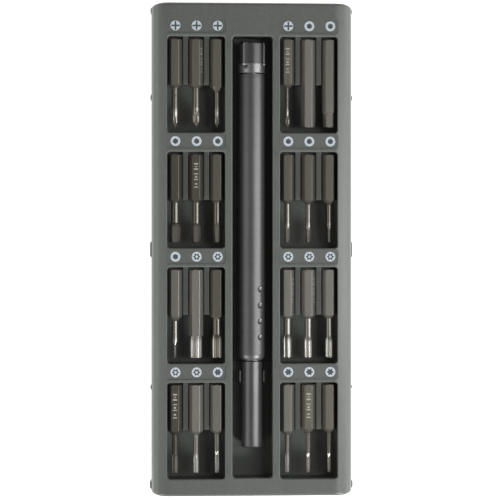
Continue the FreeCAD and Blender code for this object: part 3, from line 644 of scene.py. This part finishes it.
bits_of_pocket = {}
for bit in bits:
    low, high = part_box(bit)
    pocket = (-round(high.y / MM), low.x > 0)
    bits_of_pocket.setdefault(pocket, []).append(bit)
for number, pocket in enumerate(sorted(bits_of_pocket), 1):
    points, quads = joined([shell for bit in bits_of_pocket[pocket] for shell in icon_shells(bit)])
    mesh_piece(f"pocket_{number}_icons", points, quads, ink_finish, "tray_set")
    points, quads = joined([back_shell(bit) for bit in bits_of_pocket[pocket]])
    mesh_piece(f"pocket_{number}_icon_backs", points, quads, back_finish, "tray_set")
print(len(bits_of_pocket), "groups of icons printed")

# %% [markdown]
# ## Marks etched on some shanks
# Seven bits show a laser-etched batch mark that runs along one face. A laser only roughens the
# steel, so the mark is a pale matt patch with no depth to speak of. Plain bars stand for it,
# some long and some short, on the top face or on the face to its right.
# Each bar is a thin closed slab. All bars of a mark are one array, turned together about the
# bit's own axis onto their face.

# %% Etch the marks
etched_finish = small_metal("laser_etched_steel", "#C9C4B8", 0.6, 0.3)
AXIS_TO_FACE = 2.0 * MM
BAR_THICK = 0.015 * MM
SLAB_CORNERS = np.array([[x, y, z] for x in (-0.5, 0.5) for y in (-0.5, 0.5) for z in (-0.5, 0.5)])
SLAB_QUADS = np.array(
    [[0, 1, 3, 2], [4, 6, 7, 5], [0, 4, 5, 1], [2, 3, 7, 6], [0, 2, 6, 4], [1, 5, 7, 3]]
)
bar_from_back = np.array([3.0, 3.9, 4.7, 6.2, 7.2, 8.0, 9.4, 10.4]) * MM
bar_width = np.array([1.3, 0.7, 1.3, 1.3, 0.7, 1.3, 0.7, 1.3]) * MM
bar_length = np.array([0.45, 0.3, 0.45, 0.3, 0.6, 0.3, 0.45, 0.3]) * MM


def etch(bit, face_angle):
    """Bars on one face of a bit: slabs are scaled, set along the shank at the face's distance
    from the axis, and turned about the axis by face_angle towards the right."""
    low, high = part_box(bit)
    axis = np.array([(low.x + high.x) / 2, high.y, high.z - AXIS_TO_FACE])
    sizes = np.stack([bar_width, bar_length, np.full_like(bar_width, BAR_THICK)], axis=-1)
    places = np.stack(
        [np.zeros_like(bar_width), -bar_from_back, np.full_like(bar_width, AXIS_TO_FACE)], axis=-1
    )
    flat = SLAB_CORNERS[None] * sizes[:, None] + places[:, None]
    c, s = math.cos(math.radians(face_angle)), math.sin(math.radians(face_angle))
    turn = np.array([[c, 0, -s], [0, 1, 0], [s, 0, c]])
    points = flat.reshape(-1, 3) @ turn + axis
    starts = len(SLAB_CORNERS) * np.arange(len(bar_width))[:, None, None]
    quads = (SLAB_QUADS[None] + starts).reshape(-1, 4)
    return mesh_piece(f"{bit}_etched_mark", points, quads, etched_finish, bit)


TOP_FACE, RIGHT_FACE = 0, 60
etched = {
    "bit_cross_1": RIGHT_FACE,
    "bit_cross_000": TOP_FACE,
    "bit_hex_2_5": TOP_FACE,
    "bit_pin_star_10": RIGHT_FACE,
    "bit_pin_star_9": RIGHT_FACE,
    "bit_pin_star_7": TOP_FACE,
    "bit_star_3": TOP_FACE,
}
marks = [etch(bit, angle) for bit, angle in etched.items()]
print(len(marks), "marks etched")

# %% [markdown]
# ## The camera
# The set is seen from almost straight above, with the camera three degrees to the left, and
# from far enough away that the pockets hardly lean. The distance follows from how wide a span
# the lens has to take in at the height of the deck.

# %% Place the camera
SCENE_SPAN = 158.5 * MM
LENS, SENSOR = 135.0, 36.0
TILT = math.radians(3.0)
AIM_X, AIM_Y = -0.84 * MM, -0.17 * MM
NEAREST, FARTHEST = 0.01, 10.0
distance = SCENE_SPAN / 2 / math.tan(math.atan(SENSOR / 2 / LENS))
camera_data = bpy.data.cameras.new("camera")
camera_data.lens, camera_data.sensor_width = LENS, SENSOR
camera_data.clip_start, camera_data.clip_end = NEAREST, FARTHEST
camera = bpy.data.objects.new("camera", camera_data)
bpy.context.scene.collection.objects.link(camera)
straight_back = np.array([-math.sin(TILT), 0, math.cos(TILT)])
camera.location = np.array([AIM_X, AIM_Y, deck_z]) + distance * straight_back
camera.rotation_euler = (0, -TILT, 0)
bpy.context.scene.camera = camera
print(f"camera {distance / MM:.0f} mm above the deck")

# %% [markdown]
# ## The floor and its backdrop
# The floor is a plain sheet of matt white card. A low ring of the same card stands round it,
# so that a view from the side has a pale background. The card glows a little by itself, which
# keeps it pale while the lamps stay weak enough for the dark tray.

# %% Lay the floor
FLOOR_HALF = 3.0
RING_RADIUS, RING_HEIGHT = 0.97 * FLOOR_HALF, 0.5
CARD_GLOW = 0.85
MOTTLE_MM = 60


def pale_card(name, tone, glow):
    """Matt white card with a slight mottle, lit a little from within so that it stays pale."""
    made, tree, shader, place = begin(name, Roughness=0.9)
    mottle = add(tree, "TexNoise", {"Vector": place, "Scale": per_metre(MOTTLE_MM), "Detail": 2.0})
    base = linear(tone)
    toned = add(
        tree, "Mix", {0: mottle.outputs[0], 6: times(base, 0.97), 7: base}, data_type="RGBA"
    )
    tree.links.new(toned.outputs[2], shader.inputs["Base Color"])
    shader.inputs["Emission Color"].default_value = (1, 1, 1, 1)
    shader.inputs["Emission Strength"].default_value = glow
    return made


def card_sheet(name, points, quads, card):
    """A piece of card from arrays of points and quads, kept out of the object itself."""
    mesh = bpy.data.meshes.new(name)
    mesh.from_pydata(points.tolist(), [], quads.tolist())
    mesh.materials.append(card)
    piece = bpy.data.objects.new(name, mesh)
    bpy.context.scene.collection.objects.link(piece)
    return piece


def floor_grid(half, count=9):
    """A flat square grid at height 0, (count x count) points, each quad facing up."""
    side = np.linspace(-half, half, count)
    x, y = np.meshgrid(side, side, indexing="ij")
    points = np.stack([x, y, np.zeros_like(x)], axis=-1).reshape(-1, 3)
    i, j = np.meshgrid(np.arange(count - 1), np.arange(count - 1), indexing="ij")
    first = (i * count + j).ravel()
    quads = np.stack([first, first + count, first + count + 1, first + 1], axis=-1)
    return points, quads


def ring_band(radius, height, count=96):
    """An upright band round the floor: two rows of count points on a circle, joined by quads."""
    angle = np.linspace(0, 2 * np.pi, count, endpoint=False)
    row = np.stack([radius * np.cos(angle), radius * np.sin(angle), np.zeros(count)], axis=-1)
    points = np.concatenate([row, row + (0, 0, height)])
    here = np.arange(count)
    after = (here + 1) % count
    quads = np.stack([here, here + count, after + count, after], axis=-1)
    return points, quads


card = pale_card("pale_card", "#F4F4F2", CARD_GLOW)
card_sheet("floor", *floor_grid(FLOOR_HALF), card)
card_sheet("backdrop", *ring_band(RING_RADIUS, RING_HEIGHT), card)
print(f"floor {2 * FLOOR_HALF:.0f} m wide, with a ring {RING_HEIGHT} m high round it")

# %% [markdown]
# ## The lights
# One long soft box on the right draws the bright line along the handle and the bits, a wider
# and dimmer one on the left opens the shadows, and two small ones near the lower end brighten
# the tray there. Each one looks at the middle of the tray, and a dim even sky fills the rest.

# %% Hang the lights
LAMP_REACH = 0.7
SKY_STRENGTH = 0.09


def soft_box(name, side_angle, lean, width, length, power):
    """An area light that looks at the tray. Its side_angle in degrees runs from the right, +X,
    over the top to the left, and lean moves it along Y, as a share of the reach."""
    data = bpy.data.lights.new(name, "AREA")
    data.shape, data.size, data.size_y, data.energy = "RECTANGLE", width, length, power
    lamp = bpy.data.objects.new(name, data)
    bpy.context.scene.collection.objects.link(lamp)
    angle = math.radians(side_angle)
    lamp.location = LAMP_REACH * np.array([math.cos(angle), lean, math.sin(angle)])
    lamp.rotation_euler = lamp.location.to_track_quat("Z", "Y").to_euler()
    return lamp


lamps = [
    soft_box("key_right", side_angle=40, lean=0.0, width=0.16, length=0.9, power=2.8),
    soft_box("low_right", side_angle=46, lean=-0.8, width=0.2, length=0.3, power=6.2),
    soft_box("low_left", side_angle=148, lean=-0.85, width=0.25, length=0.3, power=3.0),
    soft_box("fill_left", side_angle=152, lean=0.0, width=0.3, length=0.9, power=0.85),
]
world = bpy.data.worlds.new("studio")
bpy.context.scene.world = world
world.use_nodes = True
sky = world.node_tree.nodes["Background"]
sky.inputs["Color"].default_value = (1, 1, 1, 1)
sky.inputs["Strength"].default_value = SKY_STRENGTH
bpy.context.scene.view_settings.view_transform = "Standard"
print(len(lamps), "soft boxes and a dim sky")
